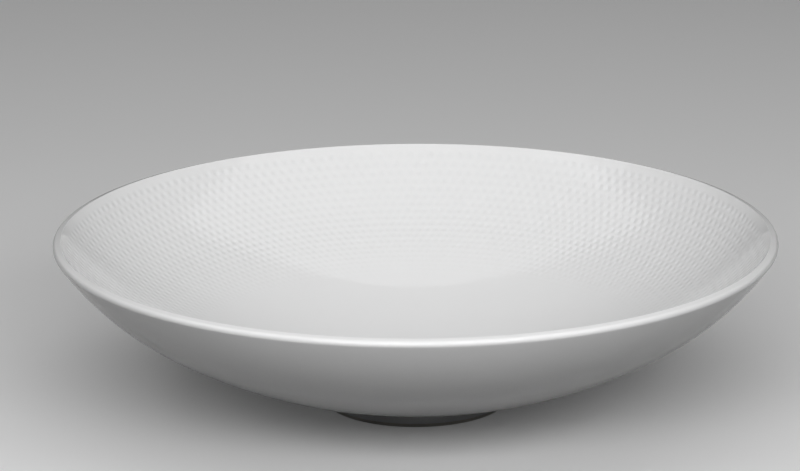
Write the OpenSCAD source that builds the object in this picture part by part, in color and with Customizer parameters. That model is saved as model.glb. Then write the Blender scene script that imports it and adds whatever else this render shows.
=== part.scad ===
// A wide, shallow china salad bowl on a small foot ring.
// Every piece is a revolve of a section made of tangent arcs; the origin is on the table, on the axis.

/* [Bowl] */
// Outer diameter at the lip
rim_d = 280; // [220:1:340]
// Height from the table to the top of the lip
bowl_h = 67.5; // [58:0.5:90]
// Height of the belly's lowest point above the table
belly_gap = 3.4; // [1:0.1:6]
// Slope of the wall, in degrees, where the flat floor arc runs into the tighter flank arc
floor_slope = 31; // [22:0.5:38]
// Slope of the wall, in degrees, where the flank runs into the lip
lip_slope = 55.5; // [46:0.5:68]
// Thickness of the glazed wall at the lip
wall_t = 3.9; // [3:0.1:6]
// Thickness of the glazed floor on the axis
floor_t = 5; // [3.5:0.1:8]

/* [Lip] */
// Slope of the lip's top, in degrees, falling outwards from the crest
lip_bevel = 14; // [4:1:40]
// Radius of the lip's outer edge, between its top and the flank
lip_edge = 1.5; // [0.8:0.1:1.8]

/* [Foot ring] */
// Outer diameter of the foot ring at the table
foot_d = 71.4; // [50:0.5:110]
// Width of the foot ring at the table
foot_w = 4.6; // [3:0.1:9]
// Lean of the foot ring's two sides, in degrees
foot_draft = 7; // [0:0.5:15]
// Radius of the foot ring's edges at the table
foot_edge = 0.9; // [0.4:0.1:1.4]

/* [Glaze] */
// Thickness of the outside and underside coats
glaze_t = 0.3; // [0.2:0.05:0.6]
// Thickness of the inside coat, which carries the relief
inside_t = 0.6; // [0.45:0.05:1]
// Height of the bare clay left at the foot, from the table to the edge of the glaze
bare_h = 1.6; // [1.2:0.1:3]

/* [Relief] */
// Width of the plain ring between the lip and the first row of the relief
plain_ring = 3; // [1:0.5:12]
// Number of rows in the relief
relief_rows = 20; // [6:1:26]
// Pitch of the rows as a share of their distance from the axis, so that the cells keep their shape
row_share = 0.03; // [0.02:0.001:0.04]
// Depth of the rows' rounded hollows
relief_depth = 0.2; // [0.1:0.02:0.35]
// Share of a row's pitch that is left level as the ridge between two rows
ridge_share = 0.4; // [0.2:0.05:0.6]

/* [Hidden] */
$fn = 256;
clay_white = [0.88, 0.86, 0.82];
glaze_white = [0.94, 0.94, 0.93];
base_white = [0.92, 0.92, 0.90];
// Reach of the wedges and blocks that bound a section, past every arc
reach = 4 * (rim_d + bowl_h);
// Half angle of the wedge that laps over the line where a floor arc and a flank arc meet
lap_angle = floor_slope / 6;

// Direction from an arc's centre to the wall, where the wall has slope a
function toward(a) = [sin(a), -cos(a)];

// Radii of the floor arc and of the flank arc that join (0, 0) to a point r out and h up
function arc_divisor() = sin(lip_slope - floor_slope) + sin(floor_slope) - sin(lip_slope);
function floor_radius(r, h) =
  (r * (cos(floor_slope) - cos(lip_slope)) - h * (sin(lip_slope) - sin(floor_slope))) / arc_divisor();
function flank_radius(r, h) = (h * sin(floor_slope) - r * (1 - cos(floor_slope))) / arc_divisor();

// Lip: its top slopes from the crest on the inner face out to a round edge, which the flank runs into
bevel_out = [cos(lip_bevel), -sin(lip_bevel)];
bevel_up = [sin(lip_bevel), cos(lip_bevel)];
bevel_run = (wall_t - lip_edge * (1 - bevel_up * toward(lip_slope))) / (bevel_out * toward(lip_slope));
crest = [rim_d / 2 - lip_edge * (1 - bevel_up[0]) - bevel_run * bevel_out[0], bowl_h];
lip_center = crest + bevel_run * bevel_out - lip_edge * bevel_up;
lip_foot = lip_center + lip_edge * toward(lip_slope);

// Outer face of the glaze
out_floor_r = floor_radius(lip_foot[0], lip_foot[1] - belly_gap);
out_flank_r = flank_radius(lip_foot[0], lip_foot[1] - belly_gap);
out_floor_c = [0, belly_gap + out_floor_r];
out_flank_c = out_floor_c + (out_floor_r - out_flank_r) * toward(floor_slope);

// Inner face of the glaze
well_h = belly_gap + floor_t;
in_floor_r = floor_radius(crest[0], crest[1] - well_h);
in_flank_r = flank_radius(crest[0], crest[1] - well_h);
in_floor_c = [0, well_h + in_floor_r];
in_flank_c = in_floor_c + (in_floor_r - in_flank_r) * toward(floor_slope);

// Places on the inner face, by the distance down the wall from the crest
flank_run = in_flank_r * (lip_slope - floor_slope) * PI / 180;
function on_flank(run) = run < flank_run;
function slope_at(run) = on_flank(run)
  ? lip_slope - run / in_flank_r * 180 / PI
  : floor_slope - (run - flank_run) / in_floor_r * 180 / PI;
function place_at(run) = on_flank(run)
  ? in_flank_c + in_flank_r * toward(slope_at(run))
  : in_floor_c + in_floor_r * toward(slope_at(run));

// Upper edge of a row of the relief, one pitch below the edge of the row above it
function row_pitch(run) = row_share * place_at(run)[0];
function row_edge(k) = k == 0 ? plain_ring : let (above = row_edge(k - 1)) above + row_pitch(above);

// Foot ring: its corners at the table, before they are rounded
foot_out = foot_d / 2;
foot_in = foot_out - foot_w;
foot_mid = foot_out - foot_w / 2;
foot_top = 3 * belly_gap + foot_w;
// Share of the edge's radius from a corner to where its round begins
edge_run = foot_edge / tan((90 + foot_draft) / 2);

// Wedge between two slopes, as seen from an arc's centre
module wedge(center, from, to) {
  polygon([center, center + reach * toward(from), center + reach * toward(to)]);
}

// All that lies within a wall of two tangent arcs, up to a slope
// The arcs end on one line, which a narrow wedge laps over inside the wall
module wall_form(floor_c, floor_r, flank_c, flank_r, top_slope) {
  intersection() {
    translate(floor_c) circle(r = floor_r);
    wedge(floor_c, 0, floor_slope);
  }
  difference() {
    intersection() {
      translate(flank_c) circle(r = flank_r);
      wedge(flank_c, floor_slope / 2, top_slope);
    }
    wedge(floor_c, 0, floor_slope);
  }
  wedge(
    floor_c + (floor_r - glaze_t) * toward(floor_slope),
    180 + floor_slope - lap_angle,
    180 + floor_slope + lap_angle
  );
}

// All that lies within the bowl's outer face, sunk by depth below the glaze
module outer_form(depth) {
  top_start = lip_center + (lip_edge - depth) * bevel_up;
  top_end = top_start - 2 * wall_t * bevel_out;
  intersection() {
    union() {
      wall_form(out_floor_c, out_floor_r - depth, out_flank_c, out_flank_r - depth, lip_slope);
      translate(lip_center) circle(r = lip_edge - depth);
      polygon([lip_center, top_start, top_end, [top_end[0], lip_center[1]]]);
    }
    square([reach, bowl_h + wall_t]);
  }
}

// The hollow of the bowl, grown by depth into the wall and going on past the crest
module hollow_form(depth) {
  wall_form(in_floor_c, in_floor_r + depth, in_flank_c, in_flank_r + depth, 2 * lip_slope);
}

// The rows' hollows: a round scoop along the middle of each row
module relief_form() {
  for (k = [0 : relief_rows - 1]) {
    pitch = row_pitch(row_edge(k));
    middle = row_edge(k) + pitch / 2;
    half_w = pitch * (1 - ridge_share) / 2;
    scoop_r = (half_w * half_w + relief_depth * relief_depth) / (2 * relief_depth);
    translate(place_at(middle) - (scoop_r - relief_depth) * toward(slope_at(middle)))
      circle(r = scoop_r);
  }
}

// Section of the foot ring with rounded edges, reaching up into the belly
module foot_form() {
  lean = tan(foot_draft);
  polygon([
    [foot_in + edge_run, 0],
    [foot_out - edge_run, 0],
    [foot_out + edge_run * sin(foot_draft), edge_run * cos(foot_draft)],
    [foot_out + foot_top * lean, foot_top],
    [foot_in - foot_top * lean, foot_top],
    [foot_in - edge_run * sin(foot_draft), edge_run * cos(foot_draft)]
  ]);
  translate([foot_in + edge_run, foot_edge]) circle(r = foot_edge);
  translate([foot_out - edge_run, foot_edge]) circle(r = foot_edge);
}

// Glaze on the two sides of the foot ring, down to the bare edge, with the ring itself
module foot_coat_form() {
  lean = tan(foot_draft);
  skin = glaze_t / cos(foot_draft);
  polygon([
    [foot_in - skin - bare_h * lean, bare_h],
    [foot_out + skin + bare_h * lean, bare_h],
    [foot_out + skin + foot_top * lean, foot_top],
    [foot_in - skin - foot_top * lean, foot_top]
  ]);
}

// Glaze below the bowl, on both sides of the foot ring
module lower_glaze_form() {
  difference() {
    union() {
      outer_form(0);
      foot_coat_form();
    }
    outer_form(glaze_t);
    hollow_form(inside_t);
    foot_form();
  }
}

// Fired wall and floor, with the lip
module body() {
  color(clay_white)
    rotate_extrude()
      difference() {
        outer_form(glaze_t);
        hollow_form(inside_t);
      }
}

// Ring under the floor, bare where it meets the table
module foot_ring() {
  color(clay_white)
    rotate_extrude()
      difference() {
        foot_form();
        outer_form(glaze_t);
      }
}

// Coat of the inside, from the lip over the rows of the relief to the plain well
module inside_glaze() {
  color(glaze_white)
    rotate_extrude()
      intersection() {
        difference() {
          hollow_form(inside_t);
          hollow_form(0);
          relief_form();
        }
        outer_form(0);
      }
}

// Coat of the lip, the belly and the foot ring's outer side
module outside_glaze() {
  color(glaze_white)
    rotate_extrude()
      difference() {
        lower_glaze_form();
        square([foot_mid, bowl_h]);
      }
}

// Coat of the underside, inside the foot ring
module base_glaze() {
  color(base_white)
    rotate_extrude()
      intersection() {
        lower_glaze_form();
        square([foot_mid, bowl_h]);
      }
}

body();
foot_ring();
inside_glaze();
outside_glaze();
base_glaze();
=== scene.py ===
"""Dresses a china salad bowl: glazed belly and lip, relief wall, plain well, underside and bare foot."""

import math

import bpy
from bpy.props import FloatProperty, FloatVectorProperty, IntProperty, PointerProperty
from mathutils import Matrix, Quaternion, Vector


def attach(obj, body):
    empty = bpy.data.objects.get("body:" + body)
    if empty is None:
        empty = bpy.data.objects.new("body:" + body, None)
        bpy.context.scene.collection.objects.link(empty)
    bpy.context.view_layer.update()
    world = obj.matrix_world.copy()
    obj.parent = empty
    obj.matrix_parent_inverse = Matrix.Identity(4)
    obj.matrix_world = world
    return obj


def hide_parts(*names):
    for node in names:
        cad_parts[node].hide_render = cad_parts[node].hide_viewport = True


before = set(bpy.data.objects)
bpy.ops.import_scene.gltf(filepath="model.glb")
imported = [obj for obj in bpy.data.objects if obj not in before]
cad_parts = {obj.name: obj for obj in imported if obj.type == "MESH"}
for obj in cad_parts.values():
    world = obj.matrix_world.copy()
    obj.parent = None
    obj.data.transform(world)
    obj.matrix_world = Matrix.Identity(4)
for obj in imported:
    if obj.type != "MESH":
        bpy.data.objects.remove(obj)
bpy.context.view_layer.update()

bl_info = {
    "name": "China Salad Bowl",
    "version": (1, 0, 0),
    "blender": (4, 5, 0),
    "location": "View3D > Sidebar > Bowl",
    "description": "Models a glazed salad bowl with a relief wall round its CAD frame",
    "category": "Mesh",
}

BODY = "root"
GLAZE_NAME = "clear_glaze"
CLAY_NAME = "fired_clay"
# Depth share of a point in its cell: it drives the glaze's bump, and the colour that paints the cells darker
# as pooled glaze and as shade
CELL_DEPTH_MARK = "cell_depth"

FULL_TURN = 2 * math.pi
MERGE_DISTANCE = 4e-6
SEED_SIZE = 0.01
SHARP_ANGLE = math.radians(40)

PHOTO_WIDTH = 800
SENSOR_WIDTH = 36.0

# Steps along the glaze of the foot ring: round its fillet, then down its side
FILLET_STEPS = 6
FOOT_SIDE_STEPS = 8

# Sockets of a Mix node that mixes colours
MIX_FACTOR = 0
MIX_FIRST = 6
MIX_SECOND = 7
MIX_RESULT = 2

# Noises over an object: scale and detail
CLOUD_NOISE = (28.0, 3.0)
GRAIN_NOISE = (2400.0, 4.0)
STAIN_NOISE = (90.0, 3.0)
FLOOR_NOISE = (3.0, 2.0)

# Glaze: how much the cells tint it, as glaze pooled in them and as painted shade of their hollows, how much
# the clouds tint it, and the ground under its clear coat
POOL_AND_SHADE_TINT = 0.8
CLOUD_TINT = 0.2
GROUND_ROUGHNESS = 0.5
GROUND_CLOUDING = 0.1
COAT_IOR = 1.5

# Bare clay: how much grain and stain darken it, and how far, and its rough surface
GRAIN_TINT = 0.5
STAIN_TINT = 0.4
STAIN_LEVEL = 0.8
GRAIN_STRENGTH = 0.3
GRAIN_DEPTH = 0.0002
CLAY_ROUGHNESS = 0.7
GRAIN_ROUGHNESS = 0.2

# Floor: its darkest level, and its roughness
FLOOR_LEVEL = 0.98
FLOOR_ROUGHNESS = 0.8

WHITE = (1.0, 1.0, 1.0, 1.0)


class BowlSizes(bpy.types.PropertyGroup):
    """Sizes of the bowl's section, as in its CAD solids."""

    rim_radius: FloatProperty(
        name="Rim radius", description="Outer radius at the lip", default=0.140, unit="LENGTH"
    )
    height: FloatProperty(
        name="Height", description="From the table to the top of the lip", default=0.0675, unit="LENGTH"
    )
    belly_gap: FloatProperty(
        name="Belly gap",
        description="Belly's lowest point above the table",
        default=0.0034,
        unit="LENGTH",
    )
    floor_slope: FloatProperty(
        name="Floor slope",
        description="Slope where the floor arc runs into the flank arc",
        default=math.radians(31),
        subtype="ANGLE",
    )
    lip_slope: FloatProperty(
        name="Lip slope",
        description="Slope where the flank runs into the lip",
        default=math.radians(55.5),
        subtype="ANGLE",
    )
    wall: FloatProperty(
        name="Wall",
        description="Thickness of the glazed wall at the lip",
        default=0.0039,
        unit="LENGTH",
    )
    floor: FloatProperty(
        name="Floor",
        description="Thickness of the glazed floor on the axis",
        default=0.005,
        unit="LENGTH",
    )
    lip_bevel: FloatProperty(
        name="Lip bevel",
        description="Slope of the lip's top, falling outwards from the crest",
        default=math.radians(14),
        subtype="ANGLE",
    )
    lip_edge: FloatProperty(
        name="Lip edge",
        description="Radius between the lip's top and the flank",
        default=0.0015,
        unit="LENGTH",
    )
    crest_round: FloatProperty(
        name="Crest round",
        description="Radius of the glaze over the crest",
        default=0.0003,
        unit="LENGTH",
    )
    foot_radius: FloatProperty(
        name="Foot radius",
        description="Outer radius of the foot ring at the table",
        default=0.0357,
        unit="LENGTH",
    )
    foot_width: FloatProperty(
        name="Foot width",
        description="Width of the foot ring at the table",
        default=0.0046,
        unit="LENGTH",
    )
    foot_draft: FloatProperty(
        name="Foot draft",
        description="Lean of the foot ring's sides",
        default=math.radians(7),
        subtype="ANGLE",
    )
    foot_edge: FloatProperty(
        name="Foot edge",
        description="Radius of the foot ring's edges at the table",
        default=0.0009,
        unit="LENGTH",
    )
    foot_fillet: FloatProperty(
        name="Foot fillet",
        description="Radius of the glaze where belly and foot meet",
        default=0.0004,
        unit="LENGTH",
    )
    bare_height: FloatProperty(
        name="Bare height",
        description="Edge of the glaze above the table",
        default=0.0016,
        unit="LENGTH",
    )
    coat: FloatProperty(
        name="Coat", description="Thickness of the glaze coats", default=0.0003, unit="LENGTH"
    )


class ReliefSizes(bpy.types.PropertyGroup):
    """Layout of the sunk cells on the inside wall."""

    cells: IntProperty(name="Cells", description="Cells in one row, all the way round", default=204)
    rows: IntProperty(
        name="Rows",
        description="Rows of cells from the lip ring to the well",
        default=20,
    )
    upper_rows: IntProperty(
        name="Upper rows",
        description="Rows in the upper of the two bands",
        default=10,
    )
    plain_ring: FloatProperty(
        name="Plain ring", description="Plain glaze above the first row", default=0.003, unit="LENGTH"
    )
    lip_seam: FloatProperty(
        name="Lip seam",
        description="Where the lip's coat meets the wall's, below the crest",
        default=0.0015,
        unit="LENGTH",
    )
    row_share: FloatProperty(
        name="Row share", description="Pitch of the rows as a share of their radius", default=0.03
    )
    depth: FloatProperty(name="Depth", description="Depth of a cell", default=0.00008, unit="LENGTH")
    fade_rows: IntProperty(name="Fade rows", description="Lowest rows that grow shallower", default=9)
    spread: FloatProperty(
        name="Spread", description="Half width of a cell as a share of the row's pitch", default=0.52
    )


class BowlFinish(bpy.types.PropertyGroup):
    """Colours and gloss of the glaze and of the bare clay."""

    glaze: FloatVectorProperty(
        name="Glaze", description="Colour of the glaze", default=(0.88, 0.88, 0.88), subtype="COLOR"
    )
    # Painted shade: the cells get this darker, cooler colour, for glaze pooled in them and for the shade in
    # their hollows
    pooled_and_shaded: FloatVectorProperty(
        name="Pooled glaze",
        description="Colour of the thicker glaze in a cell",
        default=(0.855, 0.859, 0.861),
        subtype="COLOR",
    )
    gloss: FloatProperty(
        name="Gloss",
        description="Roughness of the glaze",
        default=0.02,
        subtype="FACTOR",
    )
    ground_depth: FloatProperty(
        name="Ground depth",
        description="Depth of a cell in the ground under the clear coat",
        default=0.00017,
        unit="LENGTH",
    )
    clay: FloatVectorProperty(
        name="Clay", description="Colour of the bare clay", default=(0.72, 0.69, 0.64), subtype="COLOR"
    )


class BowlStage(bpy.types.PropertyGroup):
    """Floor, lamps and camera."""

    floor_colour: FloatVectorProperty(
        name="Floor", description="Colour of the floor", default=(0.88, 0.88, 0.88), subtype="COLOR"
    )
    floor_glow: FloatProperty(
        name="Floor glow",
        description="Share of plain white in the floor that the camera and the gloss see",
        default=0.06,
        subtype="FACTOR",
    )
    floor_bounce: FloatProperty(
        name="Floor bounce",
        description="Share of the floor's colour that lights the bowl from below",
        default=0.06,
        subtype="FACTOR",
    )
    floor_size: FloatProperty(
        name="Floor size",
        description="Side of the floor",
        default=12.0,
        unit="LENGTH",
    )
    sky: FloatProperty(
        name="Sky",
        description="Strength of the even light from all round",
        default=0.02,
    )
    softbox_radiance: FloatProperty(
        name="Softbox light", description="Brightness of the softbox overhead", default=0.7
    )
    softbox_size: FloatVectorProperty(
        name="Softbox",
        description="Width and depth of the softbox",
        size=2,
        default=(2.0, 1.5),
        unit="LENGTH",
    )
    softbox_place: FloatVectorProperty(
        name="Softbox place",
        description="Middle of the softbox",
        default=(0.0, 0.0, 1.2),
        subtype="XYZ",
    )
    front_radiance: FloatProperty(
        name="Front light", description="Brightness of the softbox in front", default=7.0
    )
    front_size: FloatVectorProperty(
        name="Front box",
        description="Width and height of the softbox",
        size=2,
        default=(1.0, 0.3),
        unit="LENGTH",
    )
    front_place: FloatVectorProperty(
        name="Front place",
        description="Middle of the softbox in front",
        default=(0.0, -0.85, 0.52),
        subtype="XYZ",
    )
    side_radiance: FloatProperty(
        name="Side light", description="Brightness of the softbox at the right", default=1.9
    )
    side_size: FloatVectorProperty(
        name="Side box",
        description="Width and height of the softbox",
        size=2,
        default=(0.6, 0.4),
        unit="LENGTH",
    )
    side_place: FloatVectorProperty(
        name="Side place",
        description="Middle of the softbox at the right",
        default=(0.62, -0.68, 0.56),
        subtype="XYZ",
    )
    left_radiance: FloatProperty(
        name="Left light", description="Brightness of the weak softbox at the left", default=0.6
    )
    left_size: FloatVectorProperty(
        name="Left box",
        description="Width and height of the softbox",
        size=2,
        default=(0.8, 0.8),
        unit="LENGTH",
    )
    left_place: FloatVectorProperty(
        name="Left place",
        description="Middle of the softbox at the left",
        default=(-1.2, -0.3, 1.2),
        subtype="XYZ",
    )
    back_radiance: FloatProperty(
        name="Back light",
        description="Brightness of the card behind the bowl, which the lip mirrors",
        default=0.08,
    )
    back_size: FloatVectorProperty(
        name="Back card",
        description="Width and height of the card",
        size=2,
        default=(2.6, 0.7),
        unit="LENGTH",
    )
    back_place: FloatVectorProperty(
        name="Back place",
        description="Middle of the card behind the bowl",
        default=(0.0, 1.6, 0.45),
        subtype="XYZ",
    )
    distance: FloatProperty(
        name="Camera distance",
        description="From the camera to the middle of the rim",
        default=1.515,
        unit="LENGTH",
    )
    elevation: FloatProperty(
        name="Camera elevation",
        description="Camera's height above the horizon",
        default=math.radians(15.83),
        subtype="ANGLE",
    )
    focal_pixels: FloatProperty(
        name="Focal length",
        description="Camera's focal length in pixels of the picture",
        default=3915.0,
    )
    rim_pixel: FloatVectorProperty(
        name="Rim pixel",
        description="The rim's middle, right of and above the picture's middle, in pixels",
        size=2,
        default=(15.55, 3.0),
    )
    roll: FloatProperty(
        name="Camera roll",
        description="Turn of the camera about its line of sight",
        default=math.radians(-0.19),
        subtype="ANGLE",
    )


def toward(slope):
    """Direction from an arc's centre to the wall, where the wall has that slope."""
    return Vector((math.sin(slope), -math.cos(slope)))


class Wall:
    """A flat floor arc and a tighter flank arc with one tangent, from the axis up to the lip."""

    def __init__(self, end, bottom, floor_slope, end_slope):
        rise = end.y - bottom
        share = math.sin(end_slope - floor_slope) + math.sin(floor_slope) - math.sin(end_slope)
        fall = math.cos(floor_slope) - math.cos(end_slope)
        gain = math.sin(end_slope) - math.sin(floor_slope)
        self.floor_slope = floor_slope
        self.floor_radius = (end.x * fall - rise * gain) / share
        self.flank_radius = (rise * math.sin(floor_slope) - end.x * (1 - math.cos(floor_slope))) / share
        self.floor_center = Vector((0, bottom + self.floor_radius))
        self.flank_center = self.floor_center + (self.floor_radius - self.flank_radius) * toward(floor_slope)

    def arc(self, slope):
        """Centre and radius of the arc that has this slope."""
        if slope < self.floor_slope:
            return self.floor_center, self.floor_radius
        return self.flank_center, self.flank_radius

    def at(self, slope):
        """The point of the wall with this slope."""
        center, radius = self.arc(slope)
        return center + radius * toward(slope)

    def slope_of(self, point):
        """Slope of the wall where it is nearest to a point."""
        out = point - self.floor_center
        slope = math.atan2(out.x, -out.y)
        if slope > self.floor_slope:
            out = point - self.flank_center
            slope = math.atan2(out.x, -out.y)
        return slope


def line_meets_circle(start, along, center, radius, sign):
    """Where a line meets a circle: the farther place for a sign of 1, the nearer one for -1."""
    out = start - center
    half = out.dot(along)
    return start + (sign * math.sqrt(half * half - out.length_squared + radius**2) - half) * along


class Section:
    """The bowl's half section: stations are pairs of a point and its outward normal."""

    def __init__(self, sizes, relief):
        self.sizes = sizes
        self.relief = relief
        self.bevel_facing = math.pi - sizes.lip_bevel
        self.bevel_normal = toward(self.bevel_facing)
        bevel_out = Vector((self.bevel_normal.y, -self.bevel_normal.x))
        edge, wall_normal = sizes.lip_edge, toward(sizes.lip_slope)
        run = sizes.wall - edge * (1 - self.bevel_normal.dot(wall_normal))
        run /= bevel_out.dot(wall_normal)
        crest_x = sizes.rim_radius - edge * (1 - self.bevel_normal.x) - run * bevel_out.x
        crest = Vector((crest_x, sizes.height))
        self.lip_center = crest + run * bevel_out - edge * self.bevel_normal
        well = sizes.belly_gap + sizes.floor
        lip_foot = self.lip_center + edge * wall_normal
        self.outer = Wall(lip_foot, sizes.belly_gap, sizes.floor_slope, sizes.lip_slope)
        self.inner = Wall(crest, well, sizes.floor_slope, sizes.lip_slope)
        self.flank_run = self.inner.flank_radius * (sizes.lip_slope - sizes.floor_slope)
        self.crest_center = line_meets_circle(
            crest - sizes.crest_round * self.bevel_normal,
            bevel_out,
            self.inner.flank_center,
            self.inner.flank_radius + sizes.crest_round,
            1,
        )

    def inside_slope(self, run):
        """Slope of the inside, at a distance down the wall from the top of the lip."""
        if run < self.flank_run:
            return self.sizes.lip_slope - run / self.inner.flank_radius
        return self.sizes.floor_slope - (run - self.flank_run) / self.inner.floor_radius

    def inside(self, run):
        """Station on the inside, at a distance down the wall from the top of the lip."""
        slope = self.inside_slope(run)
        return self.inner.at(slope), -toward(slope)

    def row_edges(self):
        """Distances down the wall of the rows' edges, each pitch a share of its radius."""
        edges = [self.relief.plain_ring]
        for _ in range(self.relief.rows):
            point, _ = self.inside(edges[-1])
            edges.append(edges[-1] + self.relief.row_share * point.x)
        return edges


def arc_stations(center, radius, start, end, count):
    """Stations along an arc that bulges outwards, by the angle of its normal from straight down."""
    stations = []
    for step in range(count + 1):
        normal = toward(start + (end - start) * step / count)
        stations.append((center + radius * normal, normal))
    return stations


def line_stations(start, end, count, normal):
    """Stations along a straight line, without its first point."""
    return [(start.lerp(end, step / count), normal) for step in range(1, count + 1)]


def backed(stations, thickness):
    """Outline of a coat: its face, then its back, sunk by its thickness."""
    face = [point for point, _ in stations]
    back = [point - thickness * normal for point, normal in stations]
    return face + back[::-1]


def edit_all():
    """Goes to edit mode with the whole mesh selected."""
    bpy.ops.object.mode_set(mode="EDIT")
    bpy.ops.mesh.select_mode(type="VERT")
    bpy.ops.mesh.select_all(action="SELECT")


def select_where(piece, test):
    """Selects the vertices whose place passes a test, and goes to edit mode."""
    bpy.ops.object.mode_set(mode="EDIT")
    bpy.ops.mesh.select_mode(type="VERT")
    bpy.ops.mesh.select_all(action="DESELECT")
    bpy.ops.object.mode_set(mode="OBJECT")
    for vertex in piece.data.vertices:
        vertex.select = test(vertex.co)
    bpy.ops.object.mode_set(mode="EDIT")


def trace_outline(name, outline, closed):
    """Starts a piece as one point on the section plane, and extrudes it along an outline."""
    bpy.ops.object.select_all(action="DESELECT")
    bpy.ops.mesh.primitive_plane_add(size=SEED_SIZE)
    piece = bpy.context.object
    piece.name = name
    piece.data.name = name
    edit_all()
    bpy.ops.mesh.merge(type="CENTER")
    bpy.ops.transform.translate(value=(outline[0].x, 0, outline[0].y))
    ends = list(zip(outline, outline[1:]))
    if closed:
        ends.append((outline[-1], outline[0]))
    for start, end in ends:
        step = end - start
        bpy.ops.mesh.extrude_region_move(TRANSFORM_OT_translate={"value": (step.x, 0, step.y)})
    close_mesh()
    return piece


def close_mesh():
    """Merges doubled points and turns the faces outwards."""
    bpy.ops.mesh.select_all(action="SELECT")
    bpy.ops.mesh.remove_doubles(threshold=MERGE_DISTANCE)
    bpy.ops.mesh.normals_make_consistent(inside=False)


def spin_outline(angle, steps, copies=False):
    """Spins the selected mesh round the bowl's axis, as a surface or as copies."""
    bpy.ops.mesh.select_all(action="SELECT")
    bpy.ops.mesh.spin(steps=steps, angle=angle, dupli=copies, center=(0, 0, 0), axis=(0, 0, 1))
    close_mesh()


def revolve(name, outline, steps, closed):
    """Models a round piece from the outline of its section."""
    piece = trace_outline(name, outline, closed)
    spin_outline(FULL_TURN, steps)
    return piece


def finish_piece(piece, node, material):
    """Shades a piece, and ties it to the CAD frame."""
    bpy.ops.object.mode_set(mode="OBJECT")
    bpy.ops.object.shade_smooth_by_angle(angle=SHARP_ANGLE)
    piece.data.materials.clear()
    piece.data.materials.append(material)
    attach(piece, BODY)
    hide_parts(node)


class Wire:
    """A value in a material: arithmetic on it adds Math nodes."""

    def __init__(self, sheet, socket):
        self.sheet = sheet
        self.socket = socket

    def math(self, operation, first, second):
        """Adds one Math node."""
        return self.sheet.add("ShaderNodeMath", {"operation": operation}, {0: first, 1: second})

    def __add__(self, other):
        return self.math("ADD", self, other)

    def __radd__(self, other):
        return self.math("ADD", other, self)

    def __sub__(self, other):
        return self.math("SUBTRACT", self, other)

    def __rsub__(self, other):
        return self.math("SUBTRACT", other, self)

    def __mul__(self, other):
        return self.math("MULTIPLY", self, other)

    def __rmul__(self, other):
        return self.math("MULTIPLY", other, self)


class NodeSheet:
    """A material's nodes."""

    def __init__(self, name):
        self.material = bpy.data.materials.new(name)
        self.material.use_nodes = True
        self.tree = self.material.node_tree
        self.tree.nodes.clear()

    def add(self, kind, settings=None, sockets=None, output=0):
        """Adds a node: its settings first, then values or links for its sockets."""
        node = self.tree.nodes.new(kind)
        for key, value in (settings or {}).items():
            setattr(node, key, value)
        for key, value in (sockets or {}).items():
            if isinstance(value, Wire):
                self.tree.links.new(value.socket, node.inputs[key])
            else:
                node.inputs[key].default_value = value
        return Wire(self, node.outputs[output]) if len(node.outputs) else node

    def mix(self, factor, first, second):
        """Mixes two colours."""
        settings = {"data_type": "RGBA", "clamp_factor": True}
        sockets = {MIX_FACTOR: factor, MIX_FIRST: first, MIX_SECOND: second}
        return self.add("ShaderNodeMix", settings, sockets, output=MIX_RESULT)

    def object_place(self):
        """A point's place in its object's own axes."""
        return self.add("ShaderNodeTexCoord", output="Object")

    def noise(self, place, scale, detail):
        """A noise value from 0 to 1 over the object."""
        sockets = {"Vector": place, "Scale": scale, "Detail": detail}
        return self.add("ShaderNodeTexNoise", None, sockets)

    def surface(self, shader):
        """Ends the sheet."""
        self.add("ShaderNodeOutputMaterial", None, {"Surface": shader})
        return self.material


def opaque(colour):
    """A colour with full alpha."""
    return (*colour, 1.0)


def glaze_material(finish):
    """White glaze: a smooth clear coat over a faintly cloudy ground, cooler and deeper in the cells, where
    the darker colour stands for pooled glaze and is also painted shade of the hollows.
    """
    sheet = NodeSheet(GLAZE_NAME)
    place = sheet.object_place()
    cell_depth = sheet.add("ShaderNodeAttribute", {"attribute_name": CELL_DEPTH_MARK}, output="Fac")
    cloud = sheet.noise(place, *CLOUD_NOISE)
    # Painted shade: the cells' depth darkens and cools the colour, as pooled glaze and as the shade of their
    # hollows
    tint = cell_depth * POOL_AND_SHADE_TINT + cloud * CLOUD_TINT
    colour = sheet.mix(tint, opaque(finish.glaze), opaque(finish.pooled_and_shaded))
    ground = sheet.add(
        "ShaderNodeBump", None, {"Strength": 1.0, "Distance": finish.ground_depth, "Height": 1.0 - cell_depth}
    )
    shader = sheet.add(
        "ShaderNodeBsdfPrincipled",
        None,
        {
            "Base Color": colour,
            "Roughness": cloud * GROUND_CLOUDING + GROUND_ROUGHNESS,
            "Normal": ground,
            "Specular IOR Level": 0.0,
            "Coat Weight": 1.0,
            "Coat Roughness": finish.gloss,
            "Coat IOR": COAT_IOR,
        },
    )
    return sheet.surface(shader)


def clay_material(finish):
    """Bare fired clay: matt, finely grained, darker in random stains."""
    sheet = NodeSheet(CLAY_NAME)
    place = sheet.object_place()
    grain = sheet.noise(place, *GRAIN_NOISE)
    stain = sheet.noise(place, *STAIN_NOISE)
    dark = tuple(level * STAIN_LEVEL for level in finish.clay)
    tint = grain * GRAIN_TINT + stain * STAIN_TINT
    colour = sheet.mix(tint, opaque(finish.clay), opaque(dark))
    bump = sheet.add(
        "ShaderNodeBump", None, {"Strength": GRAIN_STRENGTH, "Distance": GRAIN_DEPTH, "Height": grain}
    )
    roughness = grain * GRAIN_ROUGHNESS + CLAY_ROUGHNESS
    shader = sheet.add(
        "ShaderNodeBsdfPrincipled", None, {"Base Color": colour, "Roughness": roughness, "Normal": bump}
    )
    return sheet.surface(shader)


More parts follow.
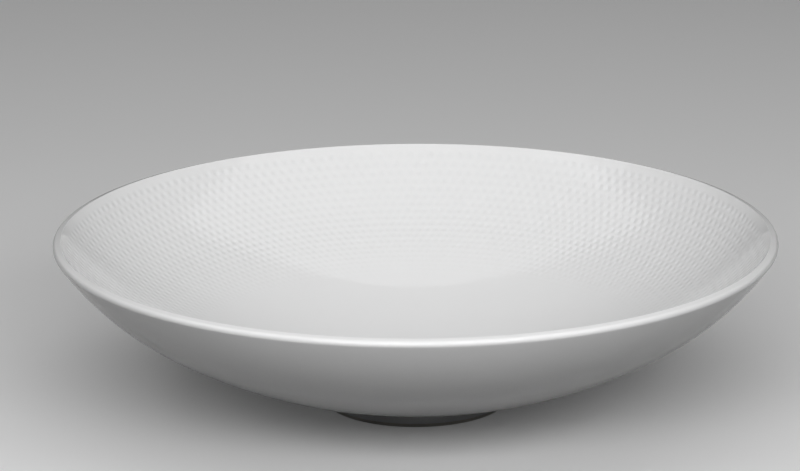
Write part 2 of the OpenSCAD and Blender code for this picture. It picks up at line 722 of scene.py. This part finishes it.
def floor_material(stage):
    """Plain pale floor, which the camera and the gloss see paler than the light that it gives back."""
    sheet = NodeSheet("pale_floor")
    place = sheet.object_place()
    cloud = sheet.noise(place, *FLOOR_NOISE)
    darker = tuple(level * FLOOR_LEVEL for level in stage.floor_colour)
    seen = sheet.mix(cloud, opaque(stage.floor_colour), opaque(darker))
    bounced = opaque(tuple(level * stage.floor_bounce for level in stage.floor_colour))
    camera = sheet.add("ShaderNodeLightPath", output="Is Camera Ray")
    glossy = sheet.add("ShaderNodeLightPath", output="Is Glossy Ray")
    through = sheet.add("ShaderNodeLightPath", output="Is Transmission Ray")
    looked_at = camera + glossy + through
    colour = sheet.mix(looked_at, bounced, seen)
    matt = sheet.add("ShaderNodeBsdfPrincipled", None, {"Base Color": colour, "Roughness": FLOOR_ROUGHNESS})
    white = sheet.add("ShaderNodeEmission", None, {"Color": WHITE, "Strength": 1.0})
    shader = sheet.add("ShaderNodeMixShader", None, {0: looked_at * stage.floor_glow, 1: matt, 2: white})
    return sheet.surface(shader)


def material_named(name, maker, finish):
    """A material that the pieces share, made once."""
    return bpy.data.materials.get(name) or maker(finish)


def glaze(finish):
    """The shared glaze."""
    return material_named(GLAZE_NAME, glaze_material, finish)


def clay(finish):
    """The shared bare clay."""
    return material_named(CLAY_NAME, clay_material, finish)


class BOWL_OT_clay_body(bpy.types.Operator):
    """Gives the fired body under the glaze its clay"""

    bl_idname = "bowl.clay_body"
    bl_label = "Clay body"

    def execute(self, context):
        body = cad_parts["body"]
        body.data.materials.clear()
        body.data.materials.append(clay(context.scene.bowl_finish))
        return {"FINISHED"}


class BOWL_OT_belly(bpy.types.Operator):
    """Models the coat of the lip, the belly and the foot ring's outer side"""

    bl_idname = "bowl.belly"
    bl_label = "Lip and belly"

    turn_steps = 408
    seam_steps = 3
    crest_steps = 8
    top_steps = 6
    edge_steps = 16
    flank_steps = 30
    floor_steps = 20

    def execute(self, context):
        sizes = context.scene.bowl_sizes
        section = Section(sizes, context.scene.bowl_relief)
        stations = self.lip(section) + self.flank(section) + foot_side(section, 1)
        outline = backed(stations, sizes.coat)
        piece = revolve("belly_glaze", outline, self.turn_steps, closed=True)
        finish_piece(piece, "outside_glaze", glaze(context.scene.bowl_finish))
        return {"FINISHED"}

    def lip(self, section):
        """From the seam on the inside over the crest, the lip's sloping top and its edge."""
        sizes = section.sizes
        facing = section.bevel_facing
        seam_slope = section.inside_slope(section.relief.lip_seam)
        wall_slope = section.inner.slope_of(section.crest_center)
        stations = []
        for step in range(self.seam_steps):
            slope = seam_slope + (wall_slope - seam_slope) * step / self.seam_steps
            stations.append((section.inner.at(slope), -toward(slope)))
        stations += arc_stations(
            section.crest_center, sizes.crest_round, wall_slope + math.pi, facing, self.crest_steps
        )
        edge = arc_stations(section.lip_center, sizes.lip_edge, facing, sizes.lip_slope, self.edge_steps)
        top = line_stations(stations[-1][0], edge[0][0], self.top_steps, section.bevel_normal)
        return stations + top + edge[1:]

    def flank(self, section):
        """From the lip's edge down the flank and the floor arc to the foot's fillet."""
        sizes = section.sizes
        outer = section.outer
        stations = arc_stations(
            outer.flank_center, outer.flank_radius, sizes.lip_slope, sizes.floor_slope, self.flank_steps
        )[1:]
        start_slope = foot_fillet(section, 1)[1]
        stations += arc_stations(
            outer.floor_center, outer.floor_radius, sizes.floor_slope, start_slope, self.floor_steps
        )[1:]
        return stations


def foot_fillet(section, side):
    """Centre of the fillet between belly and foot, the belly's slope there and the foot side's normal."""
    sizes = section.sizes
    outer = section.outer
    edge = sizes.foot_radius if side > 0 else sizes.foot_radius - sizes.foot_width
    lean = math.tan(sizes.foot_draft)
    normal = Vector((side * math.cos(sizes.foot_draft), -math.sin(sizes.foot_draft)))
    table_point = Vector((edge, 0)) + sizes.coat * normal
    reach = outer.floor_radius + sizes.foot_fillet
    offset = table_point + sizes.foot_fillet * normal
    along = Vector((side * lean, 1)).normalized()
    center = line_meets_circle(offset, along, outer.floor_center, reach, -1)
    out = center - outer.floor_center
    return center, math.atan2(out.x, -out.y), normal


def foot_side(section, side):
    """From the belly round the fillet and down one side of the foot ring to the glaze's edge."""
    sizes = section.sizes
    center, slope, normal = foot_fillet(section, side)
    facing = math.atan2(normal.x, -normal.y)
    stations = []
    for step in range(1, FILLET_STEPS + 1):
        angle = slope + (facing - slope) * step / FILLET_STEPS
        stations.append((center - sizes.foot_fillet * toward(angle), toward(angle)))
    last = stations[-1][0]
    drop = (last.y - sizes.bare_height) / math.cos(sizes.foot_draft)
    down = Vector((-side * math.sin(sizes.foot_draft), -math.cos(sizes.foot_draft)))
    return stations + line_stations(last, last + drop * down, FOOT_SIDE_STEPS, normal)


class BOWL_OT_relief(bpy.types.Operator):
    """Models the two bands of sunk cells on the inside wall"""

    bl_idname = "bowl.relief"
    bl_label = "Relief wall"

    # Faces across a cell, and where a row's points lie as shares of its pitch
    columns = 6
    row_shares = (0.0, 0.14, 0.32, 0.5, 0.68, 0.86)
    # How far from a cell's middle a point still counts as the middle, as a share of the pitch
    middle_share = 0.05
    # Thickness of the band, in coats
    back_share = 1.5

    def execute(self, context):
        relief = context.scene.bowl_relief
        section = Section(context.scene.bowl_sizes, relief)
        edges = section.row_edges()
        self.band(context, section, "upper_relief", [relief.lip_seam], range(relief.upper_rows), edges)
        self.band(context, section, "lower_relief", [], range(relief.upper_rows, relief.rows), edges)
        return {"FINISHED"}

    def band(self, context, section, name, plain, rows, edges):
        """Models one cell's width of a band, sinks its cells and copies it round the bowl."""
        relief = section.relief
        runs = list(plain)
        for row in rows:
            pitch = edges[row + 1] - edges[row]
            runs += [edges[row] + share * pitch for share in self.row_shares]
        runs.append(edges[rows[-1] + 1])
        face = [section.inside(run) for run in runs]
        back_count = len(rows) + 1
        back_runs = [runs[-1] + (runs[0] - runs[-1]) * step / back_count for step in range(back_count + 1)]
        thickness = self.back_share * section.sizes.coat
        back = []
        for run in back_runs:
            point, normal = section.inside(run)
            back.append(point - thickness * normal)
        outline = [point for point, _ in face] + back
        piece = trace_outline(name, outline, closed=True)
        cell_angle = FULL_TURN / relief.cells
        spin_outline(cell_angle, self.columns)
        for row in rows:
            self.sink_row(piece, section, row, edges, cell_angle)
        spin_outline(cell_angle * (relief.cells - 1), relief.cells - 1, copies=True)
        self.mark_cell_depths(piece, section)
        finish_piece(piece, "inside_glaze", glaze(context.scene.bowl_finish))

    def sink_row(self, piece, section, row, edges, cell_angle):
        """Sinks the middle of one row's cells, with a soft fall round it."""
        relief = section.relief
        pitch = edges[row + 1] - edges[row]
        middle, _ = section.inside(edges[row] + pitch / 2)
        near = pitch * self.middle_share
        staggered = row % 2

        def in_middle(place):
            out = math.hypot(place.x, place.y) - middle.x
            turn = abs(math.atan2(place.y, place.x)) / cell_angle
            if staggered:
                turn += 0.5
            off = abs(turn - round(turn - 0.5) - 0.5)
            return abs(out) < near and abs(place.z - middle.y) < near and off < 0.5 / self.columns

        select_where(piece, in_middle)
        fade = min(1.0, (relief.rows - row) / (relief.fade_rows + 1))
        bpy.ops.transform.shrink_fatten(
            value=-relief.depth * fade,
            use_proportional_edit=True,
            use_proportional_connected=True,
            proportional_edit_falloff="SMOOTH",
            proportional_size=relief.spread * pitch,
        )

    @staticmethod
    def mark_cell_depths(piece, section):
        """Notes on each point how deep in a cell it lies, for the glaze's bump and for its colour, which is
        darker there as pooled glaze and as painted shade.
        """
        bpy.ops.object.mode_set(mode="OBJECT")
        cell_depth = piece.data.attributes.new(CELL_DEPTH_MARK, "FLOAT", "POINT")
        depth = section.relief.depth
        for vertex in piece.data.vertices:
            place = Vector((math.hypot(vertex.co.x, vertex.co.y), vertex.co.z))
            center, radius = section.inner.arc(section.inner.slope_of(place))
            sunk = (place - center).length - radius
            cell_depth.data[vertex.index].value = max(0.0, min(1.0, sunk / depth))


class BOWL_OT_well(bpy.types.Operator):
    """Models the plain well below the relief"""

    bl_idname = "bowl.well"
    bl_label = "Well"

    turn_steps = 612
    rings = 24

    def execute(self, context):
        sizes = context.scene.bowl_sizes
        section = Section(sizes, context.scene.bowl_relief)
        start_slope = section.inside_slope(section.row_edges()[-1])
        stations = []
        for step in range(self.rings + 1):
            slope = start_slope * step / self.rings
            stations.append((section.inner.at(slope), -toward(slope)))
        outline = backed(stations, sizes.coat)
        piece = revolve("well_glaze", outline, self.turn_steps, closed=False)
        finish_piece(piece, "inside_glaze", glaze(context.scene.bowl_finish))
        return {"FINISHED"}


class BOWL_OT_underside(bpy.types.Operator):
    """Models the coat of the underside, inside the foot ring"""

    bl_idname = "bowl.underside"
    bl_label = "Underside"

    turn_steps = 204
    rings = 10

    def execute(self, context):
        sizes = context.scene.bowl_sizes
        section = Section(sizes, context.scene.bowl_relief)
        edge_slope = foot_fillet(section, -1)[1]
        stations = arc_stations(
            section.outer.floor_center, section.outer.floor_radius, 0, edge_slope, self.rings
        )
        stations += foot_side(section, -1)
        outline = backed(stations, sizes.coat)
        piece = revolve("underside_glaze", outline, self.turn_steps, closed=False)
        finish_piece(piece, "base_glaze", glaze(context.scene.bowl_finish))
        return {"FINISHED"}


class BOWL_OT_foot(bpy.types.Operator):
    """Models the foot ring with its bare, rounded edge"""

    bl_idname = "bowl.foot"
    bl_label = "Foot ring"

    turn_steps = 204
    edge_steps = 6

    def execute(self, context):
        sizes = context.scene.bowl_sizes
        section = Section(sizes, context.scene.bowl_relief)
        outline = self.side(section, 1) + self.side(section, -1)[::-1]
        piece = revolve("bare_foot", outline, self.turn_steps, closed=True)
        finish_piece(piece, "foot_ring", clay(context.scene.bowl_finish))
        return {"FINISHED"}

    def side(self, section, side):
        """From under the belly's glaze down one side and round its edge at the table."""
        sizes = section.sizes
        edge = sizes.foot_radius if side > 0 else sizes.foot_radius - sizes.foot_width
        draft = sizes.foot_draft
        run = sizes.foot_edge / math.tan((math.pi / 2 + draft) / 2)
        center = Vector((edge - side * run, sizes.foot_edge))
        facing = math.pi / 2 - draft
        arc = arc_stations(center, sizes.foot_edge, side * facing, 0, self.edge_steps)
        top_height = foot_fillet(section, side)[0].y
        rise = top_height - arc[0][0].y
        top = arc[0][0] + Vector((side * rise * math.tan(draft), rise))
        return [top] + [point for point, _ in arc]


def area_lamp(name, place, size, radiance):
    """Adds an area lamp of a given brightness that faces the bowl."""
    bpy.ops.object.light_add(type="AREA", location=place)
    lamp = bpy.context.object
    lamp.name = name
    lamp.data.shape = "RECTANGLE"
    lamp.data.size = size[0]
    lamp.data.size_y = size[1]
    lamp.data.energy = radiance * math.pi * size[0] * size[1]
    lamp.rotation_mode = "QUATERNION"
    lamp.rotation_quaternion = (-lamp.location).to_track_quat("-Z", "Y")


class BOWL_OT_stage(bpy.types.Operator):
    """Sets the floor, the light and the camera"""

    bl_idname = "bowl.stage"
    bl_label = "Stage"

    def execute(self, context):
        stage = context.scene.bowl_stage
        bpy.ops.object.select_all(action="DESELECT")
        self.floor(stage)
        self.light(context, stage)
        self.camera(context, stage)
        context.scene.view_settings.view_transform = "Standard"
        return {"FINISHED"}

    @staticmethod
    def floor(stage):
        """The floor that the bowl stands on."""
        bpy.ops.mesh.primitive_plane_add(size=stage.floor_size)
        floor = bpy.context.object
        floor.name = "floor"
        floor.data.materials.append(floor_material(stage))

    @staticmethod
    def light(context, stage):
        """Softboxes overhead, in front and at both sides, a card behind, and faint light from all round."""
        area_lamp("softbox", stage.softbox_place, stage.softbox_size, stage.softbox_radiance)
        area_lamp("front_box", stage.front_place, stage.front_size, stage.front_radiance)
        area_lamp("side_box", stage.side_place, stage.side_size, stage.side_radiance)
        area_lamp("left_box", stage.left_place, stage.left_size, stage.left_radiance)
        area_lamp("back_card", stage.back_place, stage.back_size, stage.back_radiance)
        world = bpy.data.worlds.new("studio")
        world.use_nodes = True
        background = world.node_tree.nodes["Background"]
        background.inputs["Strength"].default_value = stage.sky
        background.inputs["Color"].default_value = WHITE
        context.scene.world = world

    @staticmethod
    def camera(context, stage):
        """A camera at the photograph's angle, aimed at the middle of the rim."""
        rim = Vector((0, 0, context.scene.bowl_sizes.height))
        back = Vector((0, -math.cos(stage.elevation), math.sin(stage.elevation)))
        bpy.ops.object.camera_add(location=rim + stage.distance * back)
        camera = context.object
        camera.rotation_mode = "QUATERNION"
        level = (-back).to_track_quat("-Z", "Y")
        camera.rotation_quaternion = level @ Quaternion((0, 0, 1), stage.roll)
        camera.data.sensor_width = SENSOR_WIDTH
        camera.data.lens = stage.focal_pixels * SENSOR_WIDTH / PHOTO_WIDTH
        camera.data.shift_x = -stage.rim_pixel[0] / PHOTO_WIDTH
        camera.data.shift_y = -stage.rim_pixel[1] / PHOTO_WIDTH
        context.scene.camera = camera


class BOWL_PT_sidebar(bpy.types.Panel):
    """Lists the bowl's pieces and sizes in the sidebar"""

    bl_idname = "BOWL_PT_sidebar"
    bl_label = "Salad bowl"
    bl_space_type = "VIEW_3D"
    bl_region_type = "UI"
    bl_category = "Bowl"

    def draw(self, context):
        for operator in OPERATORS:
            self.layout.operator(operator.bl_idname)
        for name in GROUPS:
            settings = getattr(context.scene, name)
            box = self.layout.box()
            for key in settings.__annotations__:
                box.prop(settings, key)


GROUPS = {
    "bowl_sizes": BowlSizes,
    "bowl_relief": ReliefSizes,
    "bowl_finish": BowlFinish,
    "bowl_stage": BowlStage,
}
OPERATORS = (
    BOWL_OT_clay_body,
    BOWL_OT_belly,
    BOWL_OT_relief,
    BOWL_OT_well,
    BOWL_OT_underside,
    BOWL_OT_foot,
    BOWL_OT_stage,
)


def register():
    """Registers the settings, the operators and the panel."""
    for name, group in GROUPS.items():
        bpy.utils.register_class(group)
        setattr(bpy.types.Scene, name, PointerProperty(type=group))
    for operator in OPERATORS:
        bpy.utils.register_class(operator)
    bpy.utils.register_class(BOWL_PT_sidebar)


def unregister():
    """Takes them out again."""
    bpy.utils.unregister_class(BOWL_PT_sidebar)
    for operator in reversed(OPERATORS):
        bpy.utils.unregister_class(operator)
    for name, group in reversed(GROUPS.items()):
        delattr(bpy.types.Scene, name)
        bpy.utils.unregister_class(group)


def main():
    """Models and stages the bowl."""
    register()
    for operator in OPERATORS:
        family, name = operator.bl_idname.split(".")
        getattr(getattr(bpy.ops, family), name)()


if __name__ == "__main__":
    main()
